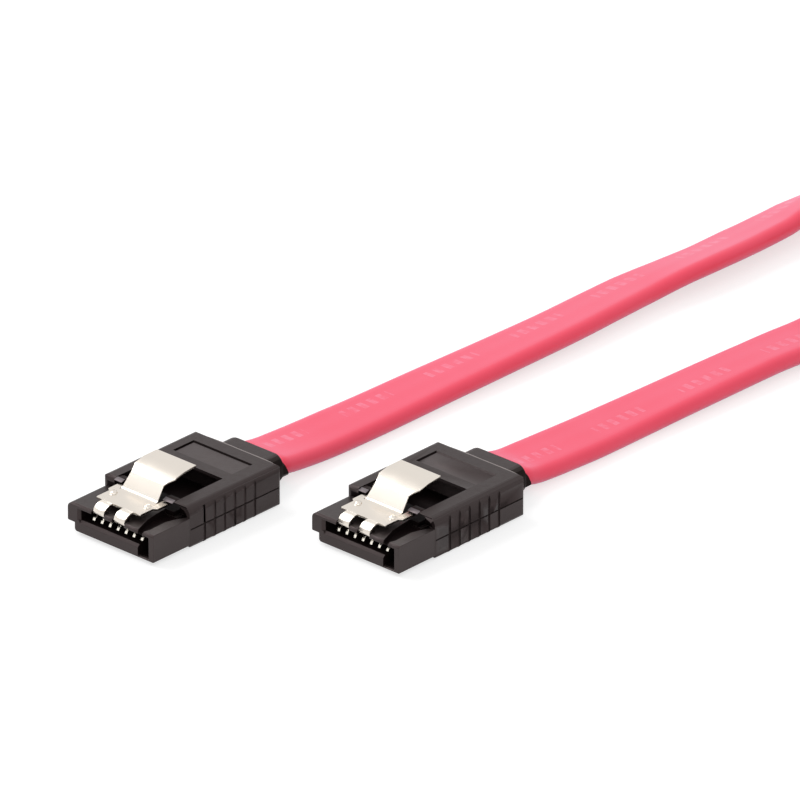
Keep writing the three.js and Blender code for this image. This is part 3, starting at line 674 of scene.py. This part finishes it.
print("plug pieces made")

jacketFinish = {"color": (0.95, 0.064, 0.098), "deep": (0.92, 0.054, 0.082), "roughness": 0.38,
                "specular": 0.6, "tint": (1.0, 0.6, 1.0), "sheen": 0.45, "bump": 0.2,
                "markColor": (0.98, 0.40, 0.50), "markStrength": 0.32, "markPitch": 1.6,
                "markGroup": 14.5, "markMiddle": 7.16, "markHalf": 0.8, "barShare": 0.52,
                "groupShare": 0.56, "wearScale": 1100, "wearCut": 0.3, "wearGain": 3.0,
                "toneScale": 260, "toneLift": 0.25, "toneGain": 1.1, "fineScale": 3000,
                "sheenRoughness": 0.5}


def makeMarkGroup(spec):
    # Worn pale bars in short groups along one face of the jacket
    group, gin, gout = newGroup("wornMarks", [], [("Mask", "NodeSocketFloat")])
    link = group.links.new
    coords = group.nodes.new("ShaderNodeTexCoord")
    split = group.nodes.new("ShaderNodeSeparateXYZ")
    link(coords.outputs["UV"], split.inputs[0])
    along = mathNode(group, "MULTIPLY", split.outputs["X"], cable["uvSpan"])
    across = mathNode(group, "MULTIPLY", split.outputs["Y"], cable["uvSpan"])

    def repeated(pitch, share):
        turn = mathNode(group, "FRACT", mathNode(group, "DIVIDE", along, pitch))
        return mathNode(group, "LESS_THAN", turn, share)

    bar = repeated(spec["markPitch"], spec["barShare"])
    cluster = repeated(spec["markGroup"], spec["groupShare"])
    off = mathNode(group, "ABSOLUTE", mathNode(group, "SUBTRACT", across, spec["markMiddle"]))
    band = mathNode(group, "LESS_THAN", off, spec["markHalf"])
    wear = noiseNode(group, coords.outputs["Object"], spec["wearScale"]).outputs["Fac"]
    kept = mathNode(group, "SUBTRACT", wear, spec["wearCut"])
    kept = mathNode(group, "MULTIPLY", kept, spec["wearGain"], True)
    mask = mathNode(group, "MULTIPLY", mathNode(group, "MULTIPLY", bar, cluster), band)
    mask = mathNode(group, "MULTIPLY", mask, kept)
    link(mathNode(group, "MULTIPLY", mask, spec["markStrength"]), gout.inputs["Mask"])
    return group


def jacketMaterial(spec):
    mat, tree, shader = newMaterial("cableJacket")
    coords = tree.nodes.new("ShaderNodeTexCoord")
    noise = noiseNode(tree, coords.outputs["Object"], spec["toneScale"], 3).outputs["Fac"]
    ramp = mathNode(tree, "ADD", noise, spec["toneLift"])
    ramp = mathNode(tree, "MULTIPLY", ramp, spec["toneGain"], True)
    toned = mixColors(tree, ramp, spec["deep"], spec["color"])
    mask = placeGroup(tree, makeMarkGroup(spec), {}).outputs["Mask"]
    tree.links.new(mixColors(tree, mask, toned, spec["markColor"]), shader.inputs["Base Color"])
    shader.inputs["Roughness"].default_value = spec["roughness"]
    shader.inputs["Specular IOR Level"].default_value = spec["specular"]
    shader.inputs["Sheen Weight"].default_value = spec["sheen"]
    shader.inputs["Sheen Roughness"].default_value = spec["sheenRoughness"]
    shader.inputs["Sheen Tint"].default_value = (*spec["tint"], 1)
    shader.inputs["Specular Tint"].default_value = (*spec["tint"], 1)
    fine = noiseNode(tree, coords.outputs["Object"], spec["fineScale"])
    addBump(tree, shader, fine.outputs["Fac"], spec["bump"], 0.03 * mm)
    return mat


cableJacket.data.materials.append(jacketMaterial(jacketFinish))
print("materials made")

studio = {
    "floorColor": (0.5, 0.5, 0.5), "floorGlow": 0.64, "floorHalf": 3.0, "floorDrop": 0.02,
    "floorRoughness": 0.9, "floorSpecular": 0.1, "worldStrength": 0.7,
    "keySoftbox": {"place": (-0.56, -0.08, 0.72), "size": (0.6, 0.36), "power": 3.0},
    "fillSoftbox": {"place": (0.6, -0.5, 0.45), "size": (0.5, 0.5), "power": 1.0},
}


def seenDirectly(tree):
    # One for what the camera, mirror reflections and clear pieces see, nought for soft light
    path = tree.nodes.new("ShaderNodeLightPath")
    seen = mathNode(tree, "MAXIMUM", path.outputs["Is Camera Ray"], path.outputs["Is Glossy Ray"])
    return mathNode(tree, "MAXIMUM", seen, path.outputs["Is Transmission Ray"])


def makeFloor():
    mesh = bmesh.new()
    bmesh.ops.create_grid(mesh, x_segments=2, y_segments=2, size=studio["floorHalf"])
    data = meshData("tableTop", mesh)
    obj = placeObject("tableTop", data, (0, 0, -studio["floorDrop"] * mm))
    mat, tree, shader = newMaterial("tableTop")
    shader.inputs["Base Color"].default_value = (*studio["floorColor"], 1)
    shader.inputs["Roughness"].default_value = studio["floorRoughness"]
    shader.inputs["Specular IOR Level"].default_value = studio["floorSpecular"]
    shader.inputs["Emission Color"].default_value = (1, 1, 1, 1)
    glow = mathNode(tree, "MULTIPLY", seenDirectly(tree), studio["floorGlow"])
    tree.links.new(glow, shader.inputs["Emission Strength"])
    data.materials.append(mat)


def makeWorld():
    world = bpy.data.worlds.new("studio")
    scene.world = world
    world.use_nodes = True
    tree = world.node_tree
    back = tree.nodes["Background"]
    back.inputs["Color"].default_value = (1, 1, 1, 1)
    gain = mathNode(tree, "MULTIPLY", seenDirectly(tree), 1 - studio["worldStrength"])
    tree.links.new(mathNode(tree, "ADD", gain, studio["worldStrength"]), back.inputs["Strength"])


def makeLamp(name):
    lamp = studio[name]
    data = bpy.data.lights.new(name, "AREA")
    data.shape = "RECTANGLE"
    data.size, data.size_y = lamp["size"]
    data.energy = lamp["power"]
    obj = placeObject(name, data, lamp["place"])
    obj.rotation_euler = (-Vector(lamp["place"])).to_track_quat("-Z", "Y").to_euler()


makeFloor()
makeWorld()
makeLamp("keySoftbox")
makeLamp("fillSoftbox")
scene.view_settings.view_transform = "Standard"
print("studio made")
